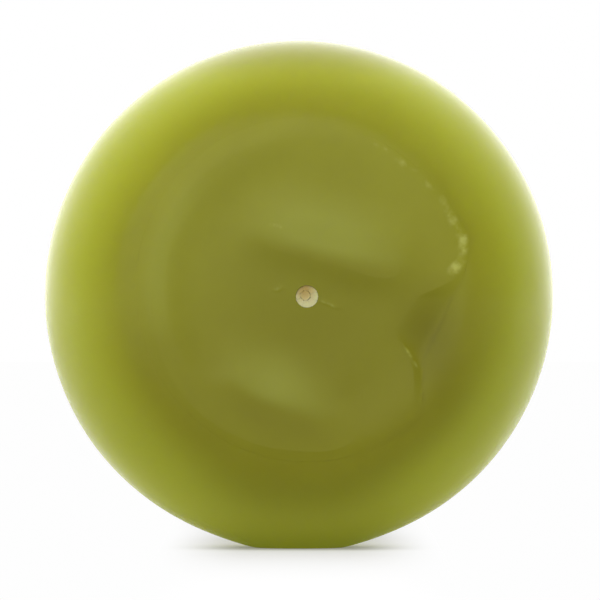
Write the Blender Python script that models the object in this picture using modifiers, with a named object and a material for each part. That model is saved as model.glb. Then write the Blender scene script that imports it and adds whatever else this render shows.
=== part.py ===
"""Cast translucent puck that stands on its rim, with a second pour on its front face and a cord core.

Frame: metres, +Z up. The puck's axis runs along Y and its front (poured) face looks towards -Y.
The origin is the middle of the bounding box at the level that the foot stands on.

Pieces: the moulded first pour with its dish, bore and foot; the second pour that fills the dish;
and the core, a braided sleeve of eight yarns round a centre yarn, which runs from face to face.
"""

from math import asin, cos, pi, radians, sin

import bmesh
import bpy

# The moulded puck: a disc with a fully rounded rim and two flat faces
PUCK_RADIUS = 0.038
HALF_DEPTH = 0.0178
RIM_ROUNDING = 0.019
RIM_SEGMENTS = 7
TURN_STEPS = 72

# The foot: an elliptical pad that the puck's weight has squashed flat, a little proud of the rim
AXIS_HEIGHT = 0.03776
FOOT_HALF_WIDTH = 0.0078
FOOT_HALF_DEPTH = 0.0052
FOOT_HEIGHT = 0.0014
FOOT_FLARE = 1.25
FOOT_STEPS = 40
FLOOR_SLAB = 0.03

# The dish in the front face, which the second pour fills. Its centre is off the puck's axis.
DISH_OFFSET_X = 0.0013
DISH_OFFSET_Z = 0.00085
DISH_RADIUS = 0.0255
DISH_WALL = 0.0009
DISH_DEPTH = 0.0028
DISH_SEGMENTS = 6

# The second pour: its clearance from the dish, its rounded shoulder and its round outline
POUR_GAP = 0.0002
POUR_SETBACK = 0.0001
POUR_SHOULDER = 0.0022
POUR_SHOULDER_DROP = 0.00035
POUR_ARC_FROM = radians(-75)
POUR_ARC_TO = radians(-282)
POUR_ARC_STEP = radians(12)

# The ragged edge of the second pour, seen from the front: (right, up) from the puck's axis,
# from the top of the right-hand side, round the bay and down to the bottom
POUR_EDGE = (
    (0.0112, 0.0230),
    (0.0161, 0.0201),
    (0.0200, 0.0168),
    (0.0233, 0.0119),
    (0.0252, 0.0079),
    (0.0237, 0.0037),
    (0.0199, 0.0004),
    (0.0169, -0.0008),
    (0.0151, -0.0032),
    (0.0154, -0.0074),
    (0.0175, -0.0107),
    (0.0178, -0.0145),
    (0.0181, -0.0175),
    (0.0163, -0.0199),
    (0.0109, -0.0229),
)

# The core: the bore, and the cut ends' setback from the faces
CORE_OFFSET_X = 0.00117
CORE_OFFSET_Z = -0.00028
BORE_RADIUS = 0.00165
BORE_STEPS = 32
SLEEVE_RECESS = 0.0006
CENTRE_RECESS = 0.0012
BACK_RECESS = 0.0001

# The braid: round yarns on two opposed helices that wave in and out to pass each other
CENTRE_RADIUS = 0.00056
CENTRE_BEVEL_RESOLUTION = 3
YARN_RADIUS = 0.00021
YARN_BEVEL_RESOLUTION = 1
BRAID_RADIUS = 0.00113
BRAID_WAVE = 0.00026
BRAID_TURNS = 1.5
YARNS_EACH_WAY = 4
POINTS_PER_WAVE = 6

SCREW_MERGE = 0.00001
WELD_DISTANCE = 0.000001

GREEN = (0.22, 0.22, 0.03)
PALE_GREEN = (0.26, 0.26, 0.045)
CREAM = (0.62, 0.57, 0.33)
TAN = (0.42, 0.31, 0.15)


# ---- Scene, materials and helpers ----


def clear_scene():
    for obj in list(bpy.data.objects):
        bpy.data.objects.remove(obj)


def new_collection(name):
    collection = bpy.data.collections.new(name)
    bpy.context.scene.collection.children.link(collection)
    return collection


def material(name, colour, roughness):
    made = bpy.data.materials.new(name)
    made.use_nodes = True
    shader = made.node_tree.nodes["Principled BSDF"]
    shader.inputs["Base Color"].default_value = (*colour, 1.0)
    shader.inputs["Roughness"].default_value = roughness
    shader.inputs["Metallic"].default_value = 0.0
    return made


def link(collection, name, data, finish=None):
    """A new object in the collection, with its material where it has one."""
    obj = bpy.data.objects.new(name, data)
    collection.objects.link(obj)
    if finish is not None:
        data.materials.append(finish)
    return obj


def object_from(shape, collection, name, finish=None):
    """A mesh object made from a bmesh, which is then freed."""
    mesh = bpy.data.meshes.new(name)
    shape.to_mesh(mesh)
    shape.free()
    return link(collection, name, mesh, finish)


def turned(collection, name, profile, finish=None):
    """A solid of revolution about its own Z. The profile is (radius, height), from top to bottom."""
    shape = bmesh.new()
    points = [shape.verts.new((radius, 0.0, height)) for radius, height in profile]
    for start, end in zip(points, points[1:]):
        shape.edges.new((start, end))
    obj = object_from(shape, collection, name, finish)
    screw = obj.modifiers.new("turn", "SCREW")
    screw.axis = "Z"
    screw.steps = TURN_STEPS
    screw.render_steps = TURN_STEPS
    screw.use_merge_vertices = True
    screw.merge_threshold = SCREW_MERGE
    return obj


def face_front(obj, right=0.0, up=0.0):
    """Turns a piece whose own +Z is its front towards -Y, this far right of and above the puck's axis."""
    obj.rotation_euler = (pi / 2, 0.0, 0.0)
    obj.location = (right, 0.0, AXIS_HEIGHT + up)


def helper(obj):
    """Marks a cutter or another tool of a Boolean, which isn't a part."""
    obj.hide_render = True
    obj.display_type = "WIRE"
    return obj


def combine(obj, tool, operation):
    boolean = obj.modifiers.new(tool.name, "BOOLEAN")
    boolean.operation = operation
    boolean.object = tool
    boolean.solver = "EXACT"


# ---- The first pour ----


def rim_arc(start, end):
    """Points of the rounded rim, by their angle from its widest circle towards the front."""
    centre = PUCK_RADIUS - RIM_ROUNDING
    angles = [start + (end - start) * i / RIM_SEGMENTS for i in range(RIM_SEGMENTS + 1)]
    return [(centre + RIM_ROUNDING * cos(a), RIM_ROUNDING * sin(a)) for a in angles]


def body_profile():
    shoulder = asin(HALF_DEPTH / RIM_ROUNDING)
    front = rim_arc(shoulder, 0.0)
    back = rim_arc(0.0, -shoulder)
    return [(0.0, HALF_DEPTH), *front, *back[1:], (0.0, -HALF_DEPTH)]


def dish_floor(raised):
    """The dish's curved floor from its wall to its centre, with a constant gap above it."""
    points = []
    for i in range(DISH_SEGMENTS + 1):
        share = 1 - i / DISH_SEGMENTS
        fall = (DISH_DEPTH - DISH_WALL) * (1 - share**2)
        radius = (DISH_RADIUS - raised) * share
        points.append((radius, HALF_DEPTH - DISH_WALL - fall + raised))
    return points


def dish_cutter(collection):
    above = 1.1 * HALF_DEPTH
    profile = [(0.0, above), (DISH_RADIUS, above), *dish_floor(0.0)]
    cutter = turned(collection, "dish_cutter", profile)
    face_front(cutter, DISH_OFFSET_X, DISH_OFFSET_Z)
    return helper(cutter)


def bore_cutter(collection):
    shape = bmesh.new()
    bmesh.ops.create_cone(
        shape,
        cap_ends=True,
        segments=BORE_STEPS,
        radius1=BORE_RADIUS,
        radius2=BORE_RADIUS,
        depth=3 * HALF_DEPTH,
    )
    cutter = object_from(shape, collection, "bore_cutter")
    face_front(cutter, CORE_OFFSET_X, CORE_OFFSET_Z)
    return helper(cutter)


def foot_pad(collection):
    """An elliptical frustum that stands on the floor and widens upwards into the rim."""
    shape = bmesh.new()
    bmesh.ops.create_cone(
        shape,
        cap_ends=True,
        segments=FOOT_STEPS,
        radius1=1.0,
        radius2=FOOT_FLARE,
        depth=FOOT_HEIGHT,
    )
    bmesh.ops.scale(shape, vec=(FOOT_HALF_WIDTH, FOOT_HALF_DEPTH, 1.0), verts=shape.verts)
    bmesh.ops.translate(shape, vec=(0.0, 0.0, FOOT_HEIGHT / 2), verts=shape.verts)
    return helper(object_from(shape, collection, "foot_pad"))


def floor_cutter(collection):
    """A block whose top is the level that the foot stands on."""
    shape = bmesh.new()
    bmesh.ops.create_cube(shape, size=FLOOR_SLAB)
    bmesh.ops.translate(shape, vec=(0.0, 0.0, -FLOOR_SLAB / 2), verts=shape.verts)
    return helper(object_from(shape, collection, "floor_cutter"))


def first_pour(parts, cutters, bore, finish):
    body = turned(parts, "soap_body", body_profile(), finish)
    face_front(body)
    combine(body, dish_cutter(cutters), "DIFFERENCE")
    combine(body, bore, "DIFFERENCE")
    combine(body, foot_pad(cutters), "UNION")
    combine(body, floor_cutter(cutters), "DIFFERENCE")
    return body


# ---- The second pour ----


def pour_arc():
    """The round part of the second pour's outline, from the bottom round the left to the top."""
    radius = DISH_RADIUS - POUR_GAP
    sweep = POUR_ARC_TO - POUR_ARC_FROM
    count = round(abs(sweep) / POUR_ARC_STEP)
    angles = [POUR_ARC_FROM + sweep * i / count for i in range(count + 1)]
    return [
        (DISH_OFFSET_X + radius * cos(a), DISH_OFFSET_Z + radius * sin(a)) for a in angles
    ]


def as_mesh(curve_object, name, collection):
    """Swaps a curve object for a welded mesh object in the same place."""
    graph = bpy.context.evaluated_depsgraph_get()
    mesh = bpy.data.meshes.new_from_object(curve_object.evaluated_get(graph))
    shape = bmesh.new()
    shape.from_mesh(mesh)
    bmesh.ops.remove_doubles(shape, verts=shape.verts, dist=WELD_DISTANCE)
    bmesh.ops.recalc_face_normals(shape, faces=shape.faces)
    obj = object_from(shape, collection, name)
    obj.matrix_world = curve_object.matrix_world
    bpy.data.objects.remove(curve_object)
    bpy.data.meshes.remove(mesh)
    return obj


def pour_outline(collection):
    """A prism of the second pour's outline, which cuts the pour out of a full lens."""
    curve = bpy.data.curves.new("pour_outline_curve", "CURVE")
    curve.dimensions = "2D"
    curve.fill_mode = "BOTH"
    curve.extrude = 1.1 * HALF_DEPTH
    curve.resolution_u = 3
    points = [*POUR_EDGE, *pour_arc()]
    spline = curve.splines.new("BEZIER")
    spline.bezier_points.add(len(points) - 1)
    for knot, (right, up) in zip(spline.bezier_points, points):
        knot.co = (right, up, 0.0)
        knot.handle_left_type = "AUTO"
        knot.handle_right_type = "AUTO"
    spline.use_cyclic_u = True
    flat = link(collection, "pour_outline_curve", curve)
    outline = as_mesh(flat, "pour_outline", collection)
    face_front(outline)
    return helper(outline)


def second_pour(parts, cutters, bore, finish):
    top = HALF_DEPTH - POUR_SETBACK
    edge = DISH_RADIUS - POUR_GAP
    shoulder = [(edge - POUR_SHOULDER, top), (edge, top - POUR_SHOULDER_DROP)]
    pour = turned(parts, "top_up_pour", [(0.0, top), *shoulder, *dish_floor(POUR_GAP)], finish)
    face_front(pour, DISH_OFFSET_X, DISH_OFFSET_Z)
    combine(pour, pour_outline(cutters), "INTERSECT")
    combine(pour, bore, "DIFFERENCE")
    return pour


# ---- The core ----


def yarn(collection, name, points, radius, bevel_resolution, finish):
    """A round yarn through (right, up, back) points from the core's axis."""
    curve = bpy.data.curves.new(name, "CURVE")
    curve.dimensions = "3D"
    curve.bevel_depth = radius
    curve.bevel_resolution = bevel_resolution
    curve.use_fill_caps = True
    spline = curve.splines.new("POLY")
    spline.points.add(len(points) - 1)
    for point, (right, up, back) in zip(spline.points, points):
        point.co = (right, back, up, 1.0)
    obj = link(collection, name, curve, finish)
    obj.location = (CORE_OFFSET_X, 0.0, AXIS_HEIGHT + CORE_OFFSET_Z)
    return obj


def braid_points(place, direction):
    """A helix that passes outside and inside those that turn the other way.

    At both cut ends the yarns lie side by side in one ring, at even places.
    """
    start = SLEEVE_RECESS - HALF_DEPTH
    length = HALF_DEPTH - BACK_RECESS - start
    waves = BRAID_TURNS * YARNS_EACH_WAY
    count = round(waves * POINTS_PER_WAVE)
    points = []
    for i in range(count + 1):
        share = i / count
        angle = 2 * pi * (direction * BRAID_TURNS * share + place)
        reach = BRAID_RADIUS + direction * BRAID_WAVE * sin(2 * pi * waves * share)
        points.append((reach * cos(angle), reach * sin(angle), start + length * share))
    return points


def core(parts, sleeve_finish, centre_finish):
    yarns = 2 * YARNS_EACH_WAY
    for number in range(yarns):
        direction = 1 if number % 2 == 0 else -1
        points = braid_points(number / yarns, direction)
        name = f"core_yarn_{number + 1}"
        yarn(parts, name, points, YARN_RADIUS, YARN_BEVEL_RESOLUTION, sleeve_finish)
    front = (0.0, 0.0, CENTRE_RECESS - HALF_DEPTH)
    back = (0.0, 0.0, HALF_DEPTH - BACK_RECESS)
    ends = (front, back)
    yarn(parts, "core_centre", ends, CENTRE_RADIUS, CENTRE_BEVEL_RESOLUTION, centre_finish)


def main():
    clear_scene()
    parts = new_collection("cast_puck")
    cutters = new_collection("cutters")
    cutters.hide_render = True
    green = material("translucent_green", GREEN, 0.35)
    pale_green = material("translucent_pale_green", PALE_GREEN, 0.3)
    cream = material("cotton_cream", CREAM, 0.8)
    tan = material("cotton_tan", TAN, 0.85)

    bore = bore_cutter(cutters)
    body = first_pour(parts, cutters, bore, green)
    pour = second_pour(parts, cutters, bore, pale_green)
    core(parts, cream, tan)
    for obj in (body, pour):
        obj.data.shade_smooth()


main()
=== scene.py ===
"""Looks of the cast puck: a moulded translucent block, its ragged top-up pour and its cotton core.

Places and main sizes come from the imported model's boxes. Shapes are worked out in the puck's own
coordinates, in millimetres: u to the right, v up, both from the puck's axis, and w to the front.
A bearing, and dish_polar's angle, is in degrees from the right. An angle round the rings of a
piece is in radians.
"""

from math import asin, cos, pi, radians, sin, sqrt

import bpy
import numpy as np
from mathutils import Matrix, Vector, noise


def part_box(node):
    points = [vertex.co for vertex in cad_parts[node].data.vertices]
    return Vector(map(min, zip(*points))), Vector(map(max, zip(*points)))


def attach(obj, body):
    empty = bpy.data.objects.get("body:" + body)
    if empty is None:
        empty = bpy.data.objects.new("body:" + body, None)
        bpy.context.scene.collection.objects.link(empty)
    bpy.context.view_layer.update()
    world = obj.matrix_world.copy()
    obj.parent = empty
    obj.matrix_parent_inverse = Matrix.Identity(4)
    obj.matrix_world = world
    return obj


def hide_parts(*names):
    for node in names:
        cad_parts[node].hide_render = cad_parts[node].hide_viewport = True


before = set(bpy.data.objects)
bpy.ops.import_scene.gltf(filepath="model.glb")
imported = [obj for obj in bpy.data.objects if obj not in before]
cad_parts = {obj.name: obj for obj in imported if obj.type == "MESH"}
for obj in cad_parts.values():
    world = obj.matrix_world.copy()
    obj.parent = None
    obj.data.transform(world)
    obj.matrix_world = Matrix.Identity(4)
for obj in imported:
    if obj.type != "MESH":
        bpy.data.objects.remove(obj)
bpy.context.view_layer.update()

MM = 0.001
BODY = "root"

body_low, body_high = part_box("soap_body")
pour_low, pour_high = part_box("top_up_pour")
core_low, core_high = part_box("core_centre")
sleeve_low, sleeve_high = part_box("core_yarn_1")

PUCK_RADIUS = (body_high.x - body_low.x) / 2 / MM
AXIS_HEIGHT = body_high.z / MM - PUCK_RADIUS
HALF_DEPTH = body_high.y / MM
RIM_ROUNDING = PUCK_RADIUS / 2
RIM_CENTRE = PUCK_RADIUS - RIM_ROUNDING

POUR_RADIUS = (pour_high.z - pour_low.z) / 2 / MM
DISH_RADIUS = POUR_RADIUS + 0.03  # the ring, where the dish's wall meets the face
DISH = np.array((pour_low.x / MM + POUR_RADIUS, pour_high.z / MM - POUR_RADIUS - AXIS_HEIGHT))

CORE = np.array(
    ((core_low.x + core_high.x) / 2 / MM, (core_low.z + core_high.z) / 2 / MM - AXIS_HEIGHT)
)
CORE_CENTRE_RADIUS = (core_high.x - core_low.x) / 2 / MM
BORE_RADIUS = 1.65  # the bore is part of soap_body, so it has no box of its own
SLEEVE_FRONT = -sleeve_low.y / MM
SLEEVE_BACK = -sleeve_high.y / MM

# The second pour's ragged edge on the right: its reach from the core, by the angle about the core.
# Where this is further out than the dish's ring, the ring is the edge.
EDGE_ANGLES = (
    -90, -67, -52, -45, -40, -33, -26, -18, -12, -2, 2, 9, 14, 19, 28, 42, 54, 67, 90,
)
EDGE_REACH = (
    30, 25.6, 24.8, 24, 22.4, 20.6, 19.6, 19.8, 20.2, 21.2, 22.0, 23.6, 24.6, 25.8, 25.4, 25.5,
    25.3, 25.3, 30,
)


# ---- Small helpers on numbers ----


def smoothstep(low, high, x):
    t = np.clip((x - low) / (high - low), 0.0, 1.0)
    return t * t * (3 - 2 * t)


def window(start, rise, fall, end, x):
    """1 from rise to fall, and 0 before start and after end, with smooth flanks between."""
    return smoothstep(start, rise, x) * (1 - smoothstep(fall, end, x))


def smooth_min(a, b, k):
    """The lower of two heights, with the corner between them rounded over about k."""
    h = np.clip(0.5 + 0.5 * (b - a) / k, 0.0, 1.0)
    return b + (a - b) * h - k * h * (1 - h)


def smooth_max(a, b, k):
    """The higher of two heights, with the corner between them rounded over about k."""
    return -smooth_min(-a, -b, k)


def bell(x, width):
    """1 at zero, down to 0.37 at this width either way, and almost nothing beyond twice that."""
    return np.exp(-((x / width) ** 2))


def curve(knots, values, x):
    """A smooth curve through the knots that doesn't overshoot them."""
    knots, values = np.asarray(knots, float), np.asarray(values, float)
    step = np.diff(knots)
    slope = np.diff(values) / step
    same_way = slope[:-1] * slope[1:] > 0
    inner = np.where(same_way, 2 * slope[:-1] * slope[1:] / (slope[:-1] + slope[1:] + 1e-12), 0.0)
    tangent = np.concatenate(([slope[0]], inner, [slope[-1]]))
    i = np.clip(np.searchsorted(knots, x) - 1, 0, len(step) - 1)
    t = (x - knots[i]) / step[i]
    rise = values[i] * (1 + 2 * t) * (1 - t) ** 2 + values[i + 1] * t * t * (3 - 2 * t)
    lean = tangent[i] * t * (1 - t) ** 2 - tangent[i + 1] * t * t * (1 - t)
    return rise + step[i] * lean


def wander(points, size, seed):
    """Smooth noise from -1 to 1 at each point of an (..., 3) array, with features of this size."""
    flat = points.reshape(-1, 3) / size + seed * 17.3
    values = [noise.noise(Vector(p)) for p in flat.tolist()]
    return np.array(values).reshape(points.shape[:-1])


# ---- Mesh making ----


def world_points(u, v, w):
    """Puck coordinates in millimetres to places in the frame, in metres."""
    return np.stack((u, -w, v + AXIS_HEIGHT), axis=-1) * MM


def solid(name, points, material, capped=False, marks=None):
    """A closed piece from rings of points, with marks as point attributes for its material.

    Each ring closes on itself. The last ring joins the first, unless the two ends are capped.
    """
    rings, around = points.shape[:2]
    index = np.arange(rings * around).reshape(rings, around)
    places = points.reshape(-1, 3)
    right, up = np.roll(index, -1, axis=1), np.roll(index, -1, axis=0)
    quads = np.stack((index, right, np.roll(up, -1, axis=1), up), axis=-1)
    if capped:
        quads = quads[:-1]
    quads = quads.reshape(-1, 4)
    triangles = [quads[:, (0, 1, 2)], quads[:, (0, 2, 3)]]
    if capped:
        middles = np.stack((points[0].mean(axis=0), points[-1].mean(axis=0)))
        first, last = len(places), len(places) + 1
        places = np.concatenate((places, middles))
        triangles.append(np.stack((right[0], index[0], np.full(around, first)), axis=-1))
        triangles.append(np.stack((index[-1], right[-1], np.full(around, last)), axis=-1))
    triangles = np.concatenate(triangles)
    a, b, c = (places[triangles[:, i]] for i in range(3))
    inside_out = np.einsum("ij,ij->i", a, np.cross(b, c)).sum() < 0
    if inside_out:
        triangles, quads = triangles[:, ::-1], quads[:, ::-1]
    cap_triangles = triangles[2 * len(quads) :]
    polygons = [tuple(face) for face in (*quads.tolist(), *cap_triangles.tolist())]
    mesh = bpy.data.meshes.new(name)
    mesh.from_pydata(places.tolist(), [], polygons)
    mesh.update()
    mesh.shade_smooth()
    for mark, values in (marks or {}).items():
        values = np.asarray(values, float).ravel()
        if capped:
            values = np.concatenate((values, (values[0], values[-1])))
        layer = mesh.attributes.new(mark, "FLOAT", "POINT")
        layer.data.foreach_set("value", values.astype(np.float32))
    mesh.materials.append(material)
    obj = bpy.data.objects.new(name, mesh)
    bpy.context.scene.collection.objects.link(obj)
    return obj


# ---- The shape of the front face ----

FRONT_LEVEL = HALF_DEPTH - 0.04
SHOULDER_ROUNDING = 1.2

# The soft trough along the ring, deepest at this angle
TROUGH_DEPTH, TROUGH_WIDTH, TROUGH_OUTSIDE_RING = 0.3, 2.6, 0.8
TROUGH_ANGLE = 125

# The dish: its depth, its shallow open side, the well round the core and the hollow in the bay
DISH_DEPTH = 3.9
OPEN_DEPTH, OPEN_SLOPE = 0.75, 11.0
WELL_DEPTH, WELL_INSIDE, WELL_OUTSIDE = 1.6, 5, 13
HOLLOW, HOLLOW_DEPTH, HOLLOW_WIDTH = (18.5, -3.6), 0.2, 4.0

# The second pour's skin: its lift over the face, its sag, less on the ragged side, and its margin
SKIN_LIFT = 0.014
SKIN_SAG, SKIN_SAG_LOST, SAG_INSIDE, SAG_OUTSIDE = 0.30, 0.3, 15.5, 24.5
MARGIN_HEIGHT, MARGIN_OUT, MARGIN_WIDTH = 0.13, 21.6, 2.6
SKIN_TOP = HALF_DEPTH - 0.015

# How milky, with painted light: lighter towards the upper left, a painted lit crescent at the left,
# and a painted highlight on the folds' upper slopes
MILK_AND_LIGHT_TOP = 0.3
LIT_CRESCENT, CRESCENT_ANGLE, CRESCENT_OUT, CRESCENT_WIDTH = 0.6, 166, 22.3, 1.8
FOLD_HIGHLIGHT = 1.25

# How deep the green, with painted shade: painted shade in the middle, towards the bottom, under the
# folds and on the rim's top, and a deeper green on the back
SHADE_MIDDLE, SHADE_BOTTOM, SHADE_UNDER_FOLD = 0.45, 0.58, 0.22
SHADE_RIM_TOP, DEEP_BACK = 0.8, 0.8
# and painted shade in the bay's hollow: middle, stretch across and up, size, strength
SHADE_SPOTS = (
    ((18.6, -4.2), (1.1, 1 / 0.85), 4.2, 0.55),
    ((20.6, -9.5), (1.0, 1 / 0.55), 4.0, 0.45),
)

FOLD_FADE = 6.0
# The folds: crest line as (u, v) from left to right, height, length of the slope above and below
FOLDS = (
    (((-6, 8.8), (0, 7.3), (4, 6.2), (8.5, 5.1), (14, 4.2)), 0.44, 9.5, 5.0),
    (((-10, -12.9), (-5, -15.3), (3.5, -17.9)), 0.40, 9.5, 5.0),
)
# The thin pale ridges: start, end, height, width, paleness. The last is the lip below the bay.
RIDGES = (
    ((3.0, -0.9), (6.0, -2.0), 0.012, 0.3, 0.4),
    ((-4.4, 10.3), (-2.2, 9.9), 0.02, 0.35, 0.5),
    ((-3.6, 0.6), (-2.3, 1.2), 0.02, 0.3, 0.4),
    ((15.5, -7.6), (17.6, -11.0), 0.04, 0.26, 0.6),
)


def rim_height(reach):
    """Height of the rounded rim at this distance from the axis."""
    out = np.clip(reach - RIM_CENTRE, 0.0, RIM_ROUNDING)
    return np.sqrt(RIM_ROUNDING**2 - out**2)


def dish_polar(u, v):
    """Distance from the dish's middle, and angle about it in degrees."""
    out = np.hypot(u - DISH[0], v - DISH[1])
    return out, np.degrees(np.arctan2(v - DISH[1], u - DISH[0]))


def open_side(angle):
    """1 on the right, where the second pour stops short of the dish's ring, to 0 elsewhere."""
    return window(-84, -62, 88, 112, angle)


def base_height(u, v):
    """The face without its dish: flat, rounded over to the rim, with a soft trough at the ring."""
    out, angle = dish_polar(u, v)
    face = smooth_min(FRONT_LEVEL, rim_height(np.hypot(u, v)), SHOULDER_ROUNDING)
    towards = np.cos(np.radians(angle - TROUGH_ANGLE))
    upper_left = 0.12 + 0.88 * smoothstep(-0.2, 0.95, towards)
    trough = bell(out - DISH_RADIUS - TROUGH_OUTSIDE_RING, TROUGH_WIDTH)
    return face - TROUGH_DEPTH * upper_left * trough * (1 - open_side(angle))


def floor_height(u, v):
    """The front of the first pour: the face less the dish, which is shallow on its open side."""
    out, angle = dish_polar(u, v)
    share = np.clip(1 - (out / DISH_RADIUS) ** 2, 0.0, 1.0)
    deep = DISH_DEPTH * share**1.3
    shallow = OPEN_DEPTH * smoothstep(DISH_RADIUS, DISH_RADIUS - OPEN_SLOPE, out)
    shallow = shallow + WELL_DEPTH * smoothstep(WELL_OUTSIDE, WELL_INSIDE, out)
    from_hollow = np.hypot(u - HOLLOW[0], (v - HOLLOW[1]) * 0.8)
    shallow = shallow + HOLLOW_DEPTH * bell(from_hollow, HOLLOW_WIDTH)
    mix = open_side(angle) * smoothstep(3, 13, out)
    return base_height(u, v) - deep * (1 - mix) - shallow * mix


def ridge(u, v, start, end, height, width):
    """A thin straight ridge that fades at its ends."""
    start, end = np.array(start), np.array(end)
    way = end - start
    share = ((u - start[0]) * way[0] + (v - start[1]) * way[1]) / (way @ way)
    off = ((u - start[0]) * way[1] - (v - start[1]) * way[0]) / sqrt(way @ way)
    return height * bell(off, width) * window(-0.3, 0.2, 0.7, 1.2, share)


def above_crest(u, v, crest):
    """How far above a fold's crest a point is. Beyond its ends the crest is taken as level."""
    crest_u, crest_v = zip(*crest)
    return v - curve(crest_u, crest_v, np.clip(u, crest_u[0], crest_u[-1]))


def fold(u, v, crest, height, above, below):
    """A fold of the skin: a long slope above its crest line, and a short steep one below it."""
    n = above_crest(u, v, crest)
    peak = smooth_min(1 - n / above, 1 + n / below, 0.45)
    shape = smooth_max(peak, 0.0, 0.35)
    left, right = crest[0][0], crest[-1][0]
    fade = smoothstep(left - FOLD_FADE, left + FOLD_FADE / 2, u)
    fade = fade * (1 - smoothstep(right - FOLD_FADE / 2, right + FOLD_FADE, u))
    return height * shape * fade


def skin_height(u, v):
    """The second pour's skin: a rounded margin inside the ring, a sag, and the folds and ridges."""
    out, angle = dish_polar(u, v)
    ragged = open_side(angle) * smoothstep(4, 14, out)
    sag = SKIN_SAG * smoothstep(SAG_OUTSIDE, SAG_INSIDE, out)
    relief = SKIN_LIFT - sag * (1 - SKIN_SAG_LOST * ragged)
    relief = relief + MARGIN_HEIGHT * bell(out - MARGIN_OUT, MARGIN_WIDTH) * (1 - ragged)
    for line in FOLDS:
        relief = relief + fold(u, v, *line)
    for *line, _ in RIDGES:
        relief = relief + ridge(u, v, *line)
    return np.minimum(base_height(u, v) + relief, SKIN_TOP)


def milk_and_painted_light(u, v):
    """How milky the face is, with painted light: lighter towards the upper left, a painted
    highlight on the folds' upper slopes, and a painted lit crescent at the left.
    """
    out, angle = dish_polar(u, v)
    # Painted light: lighter towards the upper left, where the light falls
    milk_and_light = MILK_AND_LIGHT_TOP * smoothstep(-8, 14, v - 0.35 * u)
    # A painted lit crescent just inside the ring at the left
    crescent = smoothstep(0.8, 1.0, np.cos(np.radians(angle - CRESCENT_ANGLE)))
    milk_and_light = milk_and_light + LIT_CRESCENT * crescent * bell(out - CRESCENT_OUT, CRESCENT_WIDTH)
    # A painted highlight on each fold's upper slope
    for crest, _, above, _ in FOLDS:
        n = above_crest(u, v, crest)
        band = window(-1.4, 1.6, 0.25 * above, 1.15 * above, n)
        left, right = crest[0][0], crest[-1][0]
        ends = smoothstep(left - 5, left + 7, u - 0.3 * n)
        ends = ends * (1 - smoothstep(right - 8, right + 5, u + 0.1 * n))
        milk_and_light = milk_and_light + FOLD_HIGHLIGHT * band * ends
    return milk_and_light


def deep_green_and_shade(u, v):
    """The soap's deeper green with painted shade: darker in the middle, at the bottom, in the bay's
    hollow and under the folds.
    """
    out, _ = dish_polar(u, v)
    aside = smoothstep(26, 32, out) * smoothstep(5, 20, np.abs(u))
    bottom = smoothstep(12, -22, v) * (1 - 0.8 * aside)
    # Painted shade in the middle of the face and towards the bottom
    deep = SHADE_MIDDLE * smoothstep(23, 5, out) + SHADE_BOTTOM * bottom
    # Painted shade in the bay's hollow
    for middle, stretch, size, strength in SHADE_SPOTS:
        off = np.hypot((u - middle[0]) / stretch[0], (v - middle[1]) / stretch[1])
        deep = deep + strength * bell(off, size)
    # Painted shade below each fold's crest
    for crest, _, _, below in FOLDS:
        n = above_crest(u, v, crest)
        left, right = crest[0][0], crest[-1][0]
        ends = window(left - 4, left + 4, right - 4, right + 5, u)
        deep = deep + SHADE_UNDER_FOLD * bell(n + 0.55 * below, 0.55 * below) * ends
    return deep


# ---- The first pour ----

AROUND_FIRST = 480  # points in a ring
CROWD_FIRST = 0.35  # by how much they crowd together at the bottom, by the foot, in radians
RING_MARGIN = 0.13  # how far beyond the dish's ring the closest rings go
SHOULDER_MARGIN = 0.14  # how far down the rim's rounding the face's rings end, in radians
SHOULDER_TO_RIM = radians(25)  # where the plain rounding takes over from the worked face
DENT_DEPTH, DENT_SIZE = 0.04, 11.0  # the mould's faint dents
PIT_DEPTH, PIT_SIZE = 0.01, 2.6
# The bulge where the block has settled: its height, and its size to the left, to the right and deep
SETTLED = 0.66
SETTLED_WIDE_LEFT, SETTLED_WIDE_RIGHT, SETTLED_DEEP = 8.8, 9.0, 6.5


def press_foot(points):
    """Flattens the bottom on the floor, which bulges a little where the soft block has settled."""
    x, y, z = (points[..., i] / MM for i in range(3))
    wide = np.where(x > 0, SETTLED_WIDE_RIGHT, SETTLED_WIDE_LEFT)
    bulge = SETTLED * bell(x, wide) * bell(y, SETTLED_DEEP) * smoothstep(20, 4, z)
    points[..., 2] = np.clip(smooth_max(z - bulge, 0.0, 0.04), 0.0, None) * MM


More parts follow.
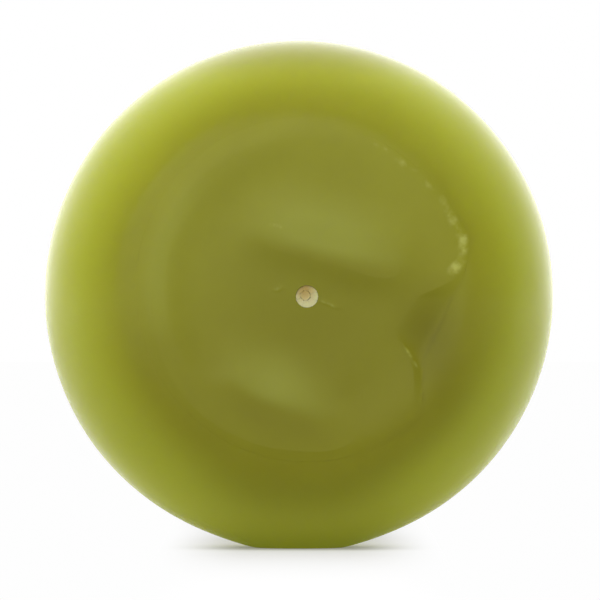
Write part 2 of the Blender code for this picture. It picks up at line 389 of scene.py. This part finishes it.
def first_pour(material):
    """The moulded block, ring by ring: dish, face, rounded rim, back, and through the bore."""
    turn = np.linspace(0, 2 * pi, AROUND_FIRST, endpoint=False)
    angle = turn - CROWD_FIRST * np.cos(turn)
    shoulder = asin(HALF_DEPTH / RIM_ROUNDING)
    rings = []

    def ring(centre, radius, height=None):
        u = centre[0] + radius * np.cos(angle)
        v = centre[1] + radius * np.sin(angle)
        w = floor_height(u, v) if height is None else np.full_like(u, height)
        rings.append(np.stack((u, v, w), axis=-1))

    for share in (*np.linspace(0, 0.96, 46), *np.linspace(0.97, 0.999, 6)):
        centre = CORE + (DISH - CORE) * share
        ring(centre, BORE_RADIUS + (DISH_RADIUS - BORE_RADIUS) * share)
    for beyond in (0.003, 0.01, 0.025, 0.06, RING_MARGIN):
        ring(DISH, DISH_RADIUS + beyond)
    start = DISH_RADIUS + RING_MARGIN
    end = RIM_CENTRE + RIM_ROUNDING * cos(shoulder - SHOULDER_MARGIN)
    for share in np.linspace(0, 1, 10)[1:]:
        ring(DISH * (1 - 0.25 * share), start + (end - start) * share)
    for rise in np.linspace(shoulder - SHOULDER_MARGIN - 0.02, 0.0, 46):
        fade = 0.75 * float(smoothstep(SHOULDER_TO_RIM, shoulder - SHOULDER_MARGIN, rise))
        height = None if rise > SHOULDER_TO_RIM else RIM_ROUNDING * sin(rise)
        ring(DISH * fade, RIM_CENTRE + RIM_ROUNDING * cos(rise), height)
    for rise in np.linspace(0, -shoulder, 45)[1:]:
        ring((0, 0), RIM_CENTRE + RIM_ROUNDING * cos(rise), RIM_ROUNDING * sin(rise))
    back_edge = RIM_CENTRE + RIM_ROUNDING * cos(shoulder)
    for share in np.linspace(0, 1, 20)[1:]:
        ring(CORE * share, back_edge + (BORE_RADIUS - back_edge) * share, -HALF_DEPTH)
    for share in np.linspace(0, 1, 14)[1:-1]:
        ring(CORE, BORE_RADIUS, -HALF_DEPTH + share * (HALF_DEPTH + rings[0][0, 2]))

    grid = np.stack(rings)
    u, v, w = (grid[..., i] for i in range(3))
    out, bearing = dish_polar(u, v)
    front = smoothstep(-4, 10, w)
    right = smoothstep(0, 1, np.cos(np.radians(bearing)))
    # Painted shade on the rim's top, where the light from above falls strongest, and a deeper green
    # on the back
    rim_top_shade = SHADE_RIM_TOP * smoothstep(31, 37.5, v) * smoothstep(-12, 0, w)
    back = DEEP_BACK * smoothstep(0, -17, w)
    on_face = deep_green_and_shade(u, v) * front * (1 - smoothstep(30, 41, out))
    marks = {
        # glow: a painted glow, lighter towards the rim and on the back, which also lengthens the
        # light's real way through the soap there
        "glow": np.maximum(smoothstep(0.5, 9, out - DISH_RADIUS + 2.5 * right), 1 - front),
        # milk: milky tone that is partly painted light and painted highlight
        "milk_and_light": milk_and_painted_light(u, v) * front * (1 - smoothstep(27, 36, out)),
        # deep: painted shade on the face and the rim's top, and a deeper green on the back
        "deep": on_face + rim_top_shade + back,
    }

    # Faint dents from the mould, but none by the core, by the ring or under the second pour
    reach = np.hypot(u, v)
    beyond = np.clip(reach - RIM_CENTRE, 0.0, None)
    normal = np.stack((u / reach * beyond, v / reach * beyond, w), axis=-1)
    normal /= np.linalg.norm(normal, axis=-1, keepdims=True)
    off_core = smoothstep(0.3, 2.0, np.hypot(u - CORE[0], v - CORE[1]) - BORE_RADIUS)
    off_ring = smoothstep(0.0, 3.0, np.abs(out - DISH_RADIUS))
    covered = (w > 0) & (out < DISH_RADIUS)
    dent = DENT_DEPTH * (1 + wander(grid, DENT_SIZE, 1))
    dent = dent + PIT_DEPTH * (1 + wander(grid, PIT_SIZE, 2))
    dent = dent * np.where(covered, 0.0, np.where(w > 0, off_ring, 1.0)) * off_core
    grid = grid - normal * dent[..., None]
    points = world_points(grid[..., 0], grid[..., 1], grid[..., 2])
    press_foot(points)
    piece = solid("first_pour", points, material, marks=marks)
    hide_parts("soap_body")
    return piece


# ---- The second pour ----

AROUND_SECOND = 760  # points in a ring
CROWD_SECOND, CROWD_TURN = 32, 195  # by how much they crowd together at the right, in degrees
POUR_GAP, EDGE_GAP = 0.03, 0.004  # between the two pours, inside and at the very edge
FEATHER = 0.05  # how far the edge laps over the ring
# The edge crumbles at the upper right, in coarse and in fine crumbs, and is set back by a little
CRUMB_SIZE, CRUMB_REACH = 2.2, 0.3
GRAIN_SIZE, GRAIN_REACH = 0.8, 0.22
CRUMB_SETBACK = 0.25
# It rolls over in a lip, or slopes down softly at the lower right, and more so in the bay
LIP_LEAST, LIP_MOST = 0.006, 0.3
SOFT_WIDTH, BAY_WIDTH = 2.0, 3.4
SOFT_END = 0.006  # how thick the soft edge still is where it ends
FLAKE_HEIGHT = 0.08
FLAKE_TOP = HALF_DEPTH - 0.01
# The pale flakes along the ragged edge: angle about the core, half length, width, strength
FLAKES = (
    (66, 2.0, 0.5, 0.35), (61.5, 2.0, 0.5, 0.35), (54.5, 3.0, 0.7, 0.5), (49.5, 1.8, 0.5, 0.25),
    (42.5, 3.0, 0.7, 0.45), (35.2, 2.4, 0.65, 0.45), (28.5, 4.0, 0.8, 0.8),
    (20.2, 3.2, 0.85, 0.85), (16, 2.0, 0.8, 0.6), (11.0, 2.8, 1.3, 0.9),
)


def edge_reach(bearing):
    """How far the second pour reaches from the core: to the dish's ring or to its ragged edge."""
    a = np.radians(bearing)
    offset = DISH - CORE
    along = offset[0] * np.cos(a) + offset[1] * np.sin(a)
    across = offset[0] * np.sin(a) - offset[1] * np.cos(a)
    ring = along + np.sqrt((DISH_RADIUS + FEATHER) ** 2 - across**2)
    ragged = curve(EDGE_ANGLES, EDGE_REACH, np.clip(bearing, -90, 90))
    ragged = np.where(np.abs(bearing) >= 90, 99.0, ragged)
    return np.minimum(ring, smooth_min(ring, ragged, 0.4))


def paleness_at(bearing, inset, u, v):
    """How pale and raised the skin is, from the flakes along the ragged edge and the ridges."""
    pale = np.zeros_like(u)
    for middle, half_length, wide, strength in FLAKES:
        by_edge = bell(inset - 1.2 * wide, wide)
        pale = pale + strength * bell(bearing - middle, half_length) * by_edge
    for start, end, _, wide, paleness in RIDGES:
        pale = pale + ridge(u, v, start, end, paleness, wide)
    return pale


def second_pour(material):
    """The second pour, ring by ring: its skin, the roll or slope at its edge, and its underside."""
    turn = np.linspace(-180, 180, AROUND_SECOND, endpoint=False)
    bearing = turn + CROWD_SECOND * np.sin(np.radians(turn - CROWD_TURN))
    bearing = bearing + CROWD_SECOND * sin(radians(CROWD_TURN))
    bearing = np.sort((bearing + 180) % 360 - 180)
    a = np.radians(bearing)

    reach = edge_reach(bearing)
    along = np.stack((reach * np.cos(a), reach * np.sin(a), np.zeros_like(a)), axis=-1)
    crumbs = CRUMB_REACH * wander(along, CRUMB_SIZE, 3) + GRAIN_REACH * wander(along, GRAIN_SIZE, 4)
    crumbly = window(-60, -48, 80, 92, bearing) * smoothstep(6, 16, bearing)
    reach = reach + (crumbs - CRUMB_SETBACK) * crumbly
    rings = []
    marks = {"flake": [], "milk_and_light": [], "deep": []}

    def underside(u, v):
        inset = reach - np.hypot(u - CORE[0], v - CORE[1])
        gap = EDGE_GAP + (POUR_GAP - EDGE_GAP) * smoothstep(0.2, 2.5, inset)
        return floor_height(u, v) + gap

    def place(distance, on_skin=True, lowered=0.0, sunk=0.0):
        u = CORE[0] + distance * np.cos(a)
        v = CORE[1] + distance * np.sin(a)
        pale = paleness_at(bearing, reach - distance, u, v)
        if on_skin:
            w = skin_height(u, v) - lowered
            w = np.minimum(w + FLAKE_HEIGHT * np.minimum(pale, 1.0), FLAKE_TOP)
            w = w + sunk * (underside(u, v) + SOFT_END - w)
        else:
            w = underside(u, v)
        rings.append(np.stack((u, v, w), axis=-1))
        marks["flake"].append(pale)
        # Milky tone with painted light, and deeper green with painted shade, as on the first pour
        marks["milk_and_light"].append(milk_and_painted_light(u, v))
        marks["deep"].append(deep_green_and_shade(u, v))

    edge_u, edge_v = CORE[0] + reach * np.cos(a), CORE[1] + reach * np.sin(a)
    thickness = skin_height(edge_u, edge_v) - underside(edge_u, edge_v)
    lip = np.clip(0.8 * thickness, LIP_LEAST, LIP_MOST)
    bay = window(-36, -22, -1, 11, bearing)
    soft = window(-78, -66, -1, 11, bearing)
    width = lip + SOFT_WIDTH * soft + BAY_WIDTH * bay
    top = reach - width
    close_to_bore, close_to_top = (0, 0.001, 0.004), (0.997, 0.999, 0.9997, 1.0)
    across_skin = (*np.linspace(0.01, 0.9, 60), *np.linspace(0.905, 0.994, 20))
    for share in (*close_to_bore, *across_skin, *close_to_top):
        place(BORE_RADIUS + (top - BORE_RADIUS) * share)
    for t in (*np.linspace(0, 0.97, 22)[1:], 0.985, 0.993, 0.997, 0.999, 0.9997, 1.0):
        quarter = t * pi / 2
        way = sin(quarter) + (t - sin(quarter)) * soft
        rolled_over = lip * (1 - cos(quarter)) * (1 - soft)
        place(top + width * way, lowered=rolled_over, sunk=soft * smoothstep(0, 1, t))
    for share in np.linspace(1.0, 0.0, 34):
        place(BORE_RADIUS + (reach - BORE_RADIUS) * share, on_skin=False)
    grid = np.stack(rings)
    points = world_points(grid[..., 0], grid[..., 1], grid[..., 2])
    marks = {mark: np.stack(values) for mark, values in marks.items()}
    piece = solid("second_pour", points, material, marks=marks)
    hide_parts("top_up_pour")
    return piece


# ---- The cord core ----

YARNS = 8
AROUND_YARN = 32
ALONG_YARN = 170
BRAID_RADIUS = 1.13
BRAID_WAVE = 0.26
BRAID_TURNS = 1.5
YARN_WIDE, YARN_TALL = 0.33, 0.23
YARN_PLIES, YARN_TWIST = 3, 4.0
CENTRE_PLIES, CENTRE_TWIST = 4, 2.5
GROOVE_DEPTH = 0.13  # between two plies, as a share of the yarn's size
FUZZ_SIZE, FUZZ_HEIGHT = 0.25, 0.004

# At the cut ends the yarns are pressed into wedges that fill the bore round the centre yarn
CUT_RADIUS = 1.19
CUT_CENTRE_RADIUS = 0.73
CUT_GAP_SIDE, CUT_GAP_BORE = 0.003, 0.006
END_SIZES = (0.5, 0.9, 0.99, 0.998)  # the rings that close a flat end, as shares of its size
CUT_DIRECTION = np.array((0.77, -0.64))  # towards the lower right, where the cut is highest
CUT_BELOW_SKIN = 0.03
CUT_RECESS = 0.14
BACK_RECESS = 0.1
LEAN = np.array((-0.38, 0.24))  # how far the middle leans to the upper left at the front cut
LEAN_LENGTH = 3.0
TAN_SPOT_OFFSET = np.array((-0.35, 1.0))  # from the core's middle to the browner place, where painted shade stands for the recess's shadow


def cut_height(u, v):
    """The slanted front cut of the core, which lies deepest at its upper left."""
    off = (u - CORE[0]) * CUT_DIRECTION[0] + (v - CORE[1]) * CUT_DIRECTION[1]
    side = off / BORE_RADIUS
    highest = float(skin_height(*CORE + BORE_RADIUS * CUT_DIRECTION)) - CUT_BELOW_SKIN
    return highest - CUT_RECESS * (0.5 - 0.5 * side)


def strand(w, wide, tall, square, plies, twist, radius=None, angle=None):
    """The points of a twisted yarn along the core, with a section for each height in w.

    A sleeve yarn has its own radius and angle about the core's axis, and is wide round the axis
    and tall away from it. The centre yarn has neither. Where square is 1 the section is a wedge
    with straight sides, and where it is 0 it is round, with a groove between each two plies. The
    centre yarn stays round, and only its grooves go.
    """
    around = np.linspace(0, 2 * pi, AROUND_YARN, endpoint=False)[None, :]
    turn = twist * (w - w[0])[:, None]
    grooves = 1 - GROOVE_DEPTH * (1 - square[:, None]) * np.abs(np.sin(plies / 2 * (around - turn)))
    power = 1 - 0.8 * square[:, None]
    if radius is None:
        u = wide[:, None] * np.cos(around) * grooves
        v = wide[:, None] * np.sin(around) * grooves
    else:
        flat = np.sign(np.cos(around)) * np.abs(np.cos(around)) ** power * grooves
        high = np.sign(np.sin(around)) * np.abs(np.sin(around)) ** power * grooves
        reach = radius[:, None] + tall[:, None] * high
        bearing = angle[:, None] + wide[:, None] * flat / radius[:, None]
        u, v = reach * np.cos(bearing), reach * np.sin(bearing)
    height = np.repeat(w[:, None], around.shape[1], axis=1)
    inner = 1 - np.clip(np.hypot(u, v) / BORE_RADIUS, 0, 1)
    lean = smoothstep(SLEEVE_FRONT - LEAN_LENGTH, SLEEVE_FRONT, height) * inner
    u = CORE[0] + u + LEAN[0] * lean
    v = CORE[1] + v + LEAN[1] * lean
    height = cut_height(u, v) - (SLEEVE_FRONT - height)
    height = np.maximum(height, -HALF_DEPTH + BACK_RECESS)
    grid = np.stack((u, v, height), axis=-1)
    fuzz = np.stack([wander(grid, FUZZ_SIZE, seed) for seed in (8, 9, 10)], axis=-1)
    grid = grid + FUZZ_HEIGHT * fuzz
    return world_points(grid[..., 0], grid[..., 1], grid[..., 2])


def yarn_piece(name, node, points, material):
    piece = solid(name, points, material, capped=True)
    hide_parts(node)
    return piece


def cord_core(cotton, centre_cotton):
    """The braid: eight sleeve yarns, every other one turning the other way, and a centre yarn."""
    pieces = []
    near, far = np.linspace(0, 0.012, 6), np.linspace(0.988, 1, 6)
    middle = np.linspace(0.015, 0.985, ALONG_YARN)
    share = np.concatenate(([0] * 3, near, middle, far, [1] * 3))
    w = SLEEVE_FRONT + (SLEEVE_BACK - SLEEVE_FRONT) * share
    waves = BRAID_TURNS * YARNS / 2
    near_end = 1 - smoothstep(0.018, 0.04, np.minimum(share, 1 - share))
    taper = np.ones(len(share))
    for i, size in enumerate(END_SIZES):
        taper[i] = taper[-1 - i] = size
    cut_wide = CUT_RADIUS * pi / YARNS - CUT_GAP_SIDE
    cut_tall = BORE_RADIUS - CUT_RADIUS - CUT_GAP_BORE
    wide = (YARN_WIDE + (cut_wide - YARN_WIDE) * near_end) * taper
    tall = (YARN_TALL + (cut_tall - YARN_TALL) * near_end) * taper
    for number in range(YARNS):
        direction = 1 if number % 2 == 0 else -1
        place = number / YARNS
        angle = 2 * pi * (direction * BRAID_TURNS * share + place)
        ends = np.where(share < 0.5, place, direction * BRAID_TURNS + place)
        angle = angle + (2 * pi * ends - angle) * near_end
        radius = BRAID_RADIUS + direction * BRAID_WAVE * np.sin(2 * pi * waves * share)
        radius = radius + (CUT_RADIUS - radius) * near_end
        twist = YARN_TWIST * direction
        points = strand(w, wide, tall, near_end, YARN_PLIES, twist, radius, angle)
        node = f"core_yarn_{number + 1}"
        pieces.append(yarn_piece(f"yarn_{number + 1}", node, points, cotton))
    thick = (CORE_CENTRE_RADIUS + (CUT_CENTRE_RADIUS - CORE_CENTRE_RADIUS) * near_end) * taper
    points = strand(w, thick, thick, near_end * 0.5, CENTRE_PLIES, CENTRE_TWIST)
    pieces.append(
        yarn_piece("centre_yarn", "core_centre", points, centre_cotton)
    )
    return pieces


# ---- Materials ----


SOAP_DARK, SOAP_LIGHT = (0.39, 0.382, 0.022), (0.44, 0.438, 0.028)
# A painted glow towards the rim, on top of the light that really passes through the soap
SOAP_PAINTED_GLOW = (0.50, 0.525, 0.040)
# Deep green, also used as painted shade in the middle, at the bottom, under the folds, in the bay
# and on the rim's top
SOAP_DEEP_AND_SHADE = (0.27, 0.25, 0.012)
# Milky tone, also used as painted light on the upper left, the left crescent and the folds'
# highlights
SOAP_MILKY_AND_LIT = (0.53, 0.565, 0.11)
SOAP_FLAKE = (0.66, 0.67, 0.16)
SOAP_IOR = 1.45
SOAP_GLOSS = 0.45
SOAP_GLOSS_TINT = (1.0, 1.0, 0.7, 1)
HAZE = 0.03
CLOUD_SCALE, GRAIN_SCALE, HAZE_SCALE = 70.0, 900.0, 60.0  # features per metre

SHORT_WAY, LONG_WAY = 0.06 * MM, 17 * MM  # how far light travels in the soap
FIRST_REACH, FIRST_ROUGHNESS = (1.0, 1.2, 0.15), 0.24
SECOND_REACH, SECOND_ROUGHNESS = (1.0, 1.05, 0.4), 0.21

COTTON_COLOURS = (0.88, 0.81, 0.38), (0.95, 0.89, 0.48)
CENTRE_COLOURS = (0.86, 0.75, 0.36), (0.93, 0.83, 0.44)
# Tan cotton darkening to painted shade at the upper left of the front cut, within these distances
TAN_AND_SHADE_COLOUR = (0.60, 0.42, 0.12)
TAN_FULL, TAN_END = 0.3 * MM, 2.4 * MM
COTTON_ROUGHNESS = 0.75
COTTON_TRANSLUCENT, COTTON_REACH, COTTON_WAY = 0.5, (1.0, 0.8, 0.4), 0.6 * MM
FIBRE_SCALE, FIBRE_BUMP = 5000.0, 0.05 * MM


def new_material(name):
    """A node material, its node tree and its Principled BSDF."""
    material = bpy.data.materials.new(name)
    material.use_nodes = True
    tree = material.node_tree
    return material, tree, tree.nodes["Principled BSDF"]


def feed(tree, socket, value):
    """Links an input from a socket, or sets the input's own value."""
    if isinstance(value, bpy.types.NodeSocket):
        tree.links.new(value, socket)
    else:
        socket.default_value = value


def add(tree, kind, **inputs):
    """A node, with its inputs fed by name: a value, or a socket to link from."""
    node = tree.nodes.new(kind)
    for name, value in inputs.items():
        feed(tree, node.inputs[name.replace("_", " ")], value)
    return node


def mix_colours(tree, share, first, second):
    """The socket of a mix of two colours, each a colour or a socket."""
    node = tree.nodes.new("ShaderNodeMix")
    node.data_type = "RGBA"
    tree.links.new(share, node.inputs["Factor"])
    for socket, colour in ((node.inputs[6], first), (node.inputs[7], second)):
        plain = not isinstance(colour, bpy.types.NodeSocket)
        feed(tree, socket, (*colour, 1) if plain else colour)
    return node.outputs[2]


def mix_values(tree, share, first, second):
    """The socket of a mix of two numbers, each a number or a socket."""
    node = tree.nodes.new("ShaderNodeMix")
    tree.links.new(share, node.inputs[0])
    feed(tree, node.inputs[2], first)
    feed(tree, node.inputs[3], second)
    return node.outputs[0]


def compute(tree, operation, *sockets):
    """The socket of a Math node that works on other sockets."""
    node = tree.nodes.new("ShaderNodeMath")
    node.operation = operation
    for socket, value in zip(node.inputs, sockets):
        tree.links.new(value, socket)
    return node.outputs[0]


def measure(tree, operation, place, other=(0, 0, 0)):
    """The socket of a number that a Vector Math node gets from a place and a fixed vector."""
    node = tree.nodes.new("ShaderNodeVectorMath")
    node.operation = operation
    tree.links.new(place, node.inputs[0])
    node.inputs[1].default_value = other
    return node.outputs["Value"]


def remap(tree, value, from_low, from_high, to_low, to_high, smooth=False):
    """The socket of a value brought from one range to another, and kept within it."""
    node = add(tree, "ShaderNodeMapRange", Value=value)
    node.inputs["From Min"].default_value = from_low
    node.inputs["From Max"].default_value = from_high
    node.inputs["To Min"].default_value = to_low
    node.inputs["To Max"].default_value = to_high
    if smooth:
        node.interpolation_type = "SMOOTHSTEP"
    return node.outputs["Result"]


def attribute(tree, name):
    """The socket of one of a piece's marks, which is 0 where the piece doesn't have it."""
    node = add(tree, "ShaderNodeAttribute")
    node.attribute_name = name
    return node.outputs["Fac"]


def soap_material(name, reach, scale, roughness):
    """Translucent soap, cloudy at random, with a painted glow, a deeper green with painted shade,
    and a milky tone with painted light where its marks say.

    The scale of the light's way through it is one number, or two: near the ring and at the rim.
    """
    material, tree, shader = new_material(name)
    place = add(tree, "ShaderNodeTexCoord").outputs["Object"]
    cloud = add(
        tree, "ShaderNodeTexNoise", Vector=place, Scale=CLOUD_SCALE, Detail=4.0, Roughness=0.6
    )
    cloudy = remap(tree, cloud.outputs["Fac"], 0.25, 0.75, 0, 1)
    colour = mix_colours(tree, cloudy, SOAP_DARK, SOAP_LIGHT)
    # A painted glow towards the rim; the same mark also lengthens the light's real way in the soap
    glow = attribute(tree, "glow")
    colour = mix_colours(tree, glow, colour, SOAP_PAINTED_GLOW)
    # Deeper green that is partly painted shade
    deep = remap(tree, attribute(tree, "deep"), 0, 1.3, 0, 1)
    colour = mix_colours(tree, deep, colour, SOAP_DEEP_AND_SHADE)
    # Milky tone that is partly painted light and painted highlight
    milky_and_lit = remap(tree, attribute(tree, "milk_and_light"), 0, 1.3, 0, 0.5)
    colour = mix_colours(tree, milky_and_lit, colour, SOAP_MILKY_AND_LIT)
    grain = add(tree, "ShaderNodeTexNoise", Vector=place, Scale=GRAIN_SCALE, Detail=2.0)
    broken = remap(tree, grain.outputs["Fac"], 0.3, 0.7, 0.4, 1.3)
    flake = compute(tree, "MULTIPLY", attribute(tree, "flake"), broken)
    pale = remap(tree, flake, 0.1, 1.1, 0, 1, smooth=True)
    colour = mix_colours(tree, pale, colour, SOAP_FLAKE)
    tree.links.new(colour, shader.inputs["Base Color"])
    shader.subsurface_method = "RANDOM_WALK"
    shader.inputs["Subsurface Weight"].default_value = 1.0
    shader.inputs["Subsurface Radius"].default_value = reach
    if isinstance(scale, tuple):
        scale = remap(tree, glow, 0, 1, *scale)
    feed(tree, shader.inputs["Subsurface Scale"], scale)
    shader.inputs["IOR"].default_value = SOAP_IOR
    shader.inputs["Specular IOR Level"].default_value = SOAP_GLOSS
    shader.inputs["Specular Tint"].default_value = SOAP_GLOSS_TINT
    haze = add(tree, "ShaderNodeTexNoise", Vector=place, Scale=HAZE_SCALE, Detail=2.0)
    matt = remap(tree, haze.outputs["Fac"], 0.0, 1.0, roughness - HAZE, roughness + HAZE)
    tree.links.new(matt, shader.inputs["Roughness"])
    return material


def cotton_material(name, dark, light):
    """Cotton fibre, browner towards a place at the top of the front cut: partly tan cotton, partly
    painted shade of the recess.
    """
    material, tree, shader = new_material(name)
    place = add(tree, "ShaderNodeTexCoord").outputs["Object"]
    fibre = add(tree, "ShaderNodeTexNoise", Vector=place, Scale=FIBRE_SCALE, Detail=3.0)
    fibrous = remap(tree, fibre.outputs["Fac"], 0.3, 0.7, 0, 1)
    colour = mix_colours(tree, fibrous, dark, light)
    # Browner towards the upper left: partly tan cotton, partly painted shade of the recess
    across, up = CORE + TAN_SPOT_OFFSET
    tan_spot = Vector((across, -HALF_DEPTH, up + AXIS_HEIGHT)) * MM
    tan_and_shade = measure(tree, "DISTANCE", place, tan_spot)
    tan_and_shade = remap(tree, tan_and_shade, TAN_FULL, TAN_END, 1, 0, smooth=True)
    colour = mix_colours(tree, tan_and_shade, colour, TAN_AND_SHADE_COLOUR)
    tree.links.new(colour, shader.inputs["Base Color"])
    shader.inputs["Roughness"].default_value = COTTON_ROUGHNESS
    shader.inputs["Subsurface Weight"].default_value = COTTON_TRANSLUCENT
    shader.inputs["Subsurface Radius"].default_value = COTTON_REACH
    shader.inputs["Subsurface Scale"].default_value = COTTON_WAY
    height = fibre.outputs["Fac"]
    bump = add(tree, "ShaderNodeBump", Height=height, Strength=0.5, Distance=FIBRE_BUMP)
    tree.links.new(bump.outputs["Normal"], shader.inputs["Normal"])
    return material


# ---- Stage: floor, light and camera ----

# The camera is level and straight in front: metres away, and millimetres from the puck's axis
CAMERA_DISTANCE = 1.0
CAMERA_RIGHT = 0.15
CAMERA_DROP = 0.79
FRAME_WIDTH = 1.179245  # in puck widths

# The studio's light by the direction it comes from: front and back, below and above, left and right
STUDIO_TURN, STUDIO_LIGHT = (-0.33, 1.1), (0.19, 2.1)
STUDIO_BELOW_ABOVE = 0.92, 1.08
STUDIO_LEFT_RIGHT = 1.04, 0.94
WINDOW_FROM = (-0.15, -0.95, 0.28)
WINDOW_EDGE, WINDOW_LIGHT = (0.90, 0.995), 1.0
KEY_FROM = (-0.15, -0.50, 0.80)
KEY_ANGLE = radians(28)
KEY_STRENGTH = 1.3

# The floor, front to back: what it gives back and sends out, and what the camera sees of it
FLOOR_SIZE = 6.0
BOUNCE_TURN, FLOOR_BOUNCE = (-0.05, 0.05), (0.25, 0.9)
GLOW_TURN, FLOOR_GLOW = (0.0, 0.06), (0.22, 0.5)
MIRRORED_AWAY, FLOOR_MIRRORED = (0.05, 0.7), (0.0, 0.5)
FLOOR_SEEN = 0.56
LIFT_TURN, FLOOR_LIFT = (-0.02, 0.01), (0.40, 0.1)
FLOOR_ASIDE, FLOOR_LIFT_ASIDE = (0.007, 0.021), 0.99


def make_floor():
    """A pale floor that burns out to white on both sides of the contact shadow."""
    bpy.ops.mesh.primitive_plane_add(size=FLOOR_SIZE, location=(0, 0, 0))
    floor = bpy.context.object
    floor.name = "floor"
    material, tree, shader = new_material("floor_white")
    path = add(tree, "ShaderNodeLightPath").outputs
    place = add(tree, "ShaderNodeNewGeometry").outputs["Position"]
    axes = add(tree, "ShaderNodeSeparateXYZ", Vector=place).outputs
    aside = compute(tree, "ABSOLUTE", axes["X"])
    aside = remap(tree, aside, *FLOOR_ASIDE, 0, 1, smooth=True)

    bounce = remap(tree, axes["Y"], *BOUNCE_TURN, *FLOOR_BOUNCE, smooth=True)
    tone = mix_values(tree, aside, FLOOR_SEEN, 0.0)
    tone = mix_values(tree, path["Is Camera Ray"], bounce, tone)
    tree.links.new(tone, shader.inputs["Base Color"])

    lift = remap(tree, axes["Y"], *LIFT_TURN, *FLOOR_LIFT, smooth=True)
    lift = mix_values(tree, aside, lift, FLOOR_LIFT_ASIDE)
    away = measure(tree, "LENGTH", place)
    mirrored = remap(tree, away, *MIRRORED_AWAY, *FLOOR_MIRRORED, smooth=True)
    glow = remap(tree, axes["Y"], *GLOW_TURN, *FLOOR_GLOW, smooth=True)
    glow = mix_values(tree, path["Is Glossy Ray"], glow, mirrored)
    glow = mix_values(tree, path["Is Camera Ray"], glow, lift)
    tree.links.new(glow, shader.inputs["Emission Strength"])
    shader.inputs["Emission Color"].default_value = (1, 1, 1, 1)
    shader.inputs["Roughness"].default_value = 0.9
    shader.inputs["Specular IOR Level"].default_value = 0.0
    floor.data.materials.append(material)


def make_world():
    """White studio light, mostly from behind, with a soft window in front, seen as plain white."""
    world = bpy.data.worlds.new("studio")
    bpy.context.scene.world = world
    world.use_nodes = True
    tree = world.node_tree
    background = tree.nodes["Background"]
    direction = add(tree, "ShaderNodeTexCoord").outputs["Generated"]
    axes = add(tree, "ShaderNodeSeparateXYZ", Vector=direction).outputs
    light = remap(tree, axes["Y"], *STUDIO_TURN, *STUDIO_LIGHT, smooth=True)
    above = remap(tree, axes["Z"], -1.0, 1.0, *STUDIO_BELOW_ABOVE)
    right = remap(tree, axes["X"], -1.0, 1.0, *STUDIO_LEFT_RIGHT)
    light = compute(tree, "MULTIPLY", compute(tree, "MULTIPLY", light, above), right)
    towards = measure(tree, "DOT_PRODUCT", direction, Vector(WINDOW_FROM).normalized())
    window_light = remap(tree, towards, *WINDOW_EDGE, 0.0, WINDOW_LIGHT, smooth=True)
    light = compute(tree, "ADD", light, window_light)
    seen = add(tree, "ShaderNodeLightPath").outputs["Is Camera Ray"]
    tree.links.new(mix_values(tree, seen, light, 1.0), background.inputs["Strength"])
    background.inputs["Color"].default_value = (1, 1, 1, 1)


def make_key():
    """A soft light from above and in front, which the skin's folds show up in."""
    data = bpy.data.lights.new("key", "SUN")
    data.angle = KEY_ANGLE
    data.energy = KEY_STRENGTH
    key = bpy.data.objects.new("key", data)
    key.rotation_euler = Vector(KEY_FROM).to_track_quat("Z", "Y").to_euler()
    key.visible_glossy = False
    bpy.context.scene.collection.objects.link(key)


def make_camera():
    data = bpy.data.cameras.new("camera")
    half_frame = PUCK_RADIUS * MM * FRAME_WIDTH / CAMERA_DISTANCE
    data.sensor_width = 36
    data.lens = data.sensor_width / 2 / half_frame
    data.dof.use_dof = False
    data.clip_start, data.clip_end = 0.05, 20
    camera = bpy.data.objects.new("camera", data)
    height = (AXIS_HEIGHT - CAMERA_DROP) * MM
    camera.location = (CAMERA_RIGHT * MM, -CAMERA_DISTANCE, height)
    camera.rotation_euler = (pi / 2, 0, 0)
    bpy.context.scene.collection.objects.link(camera)
    bpy.context.scene.camera = camera


def main():
    make_camera()
    make_world()
    make_floor()
    make_key()
    bpy.context.scene.view_settings.view_transform = "Standard"
    first = soap_material(
        "translucent_soap", FIRST_REACH, (SHORT_WAY, LONG_WAY), FIRST_ROUGHNESS
    )
    second = soap_material("translucent_top_up", SECOND_REACH, SHORT_WAY, SECOND_ROUGHNESS)
    cotton = cotton_material("cotton", *COTTON_COLOURS)
    centre_cotton = cotton_material("centre_cotton", *CENTRE_COLOURS)
    for piece in (first_pour(first), second_pour(second), *cord_core(cotton, centre_cotton)):
        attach(piece, BODY)


main()
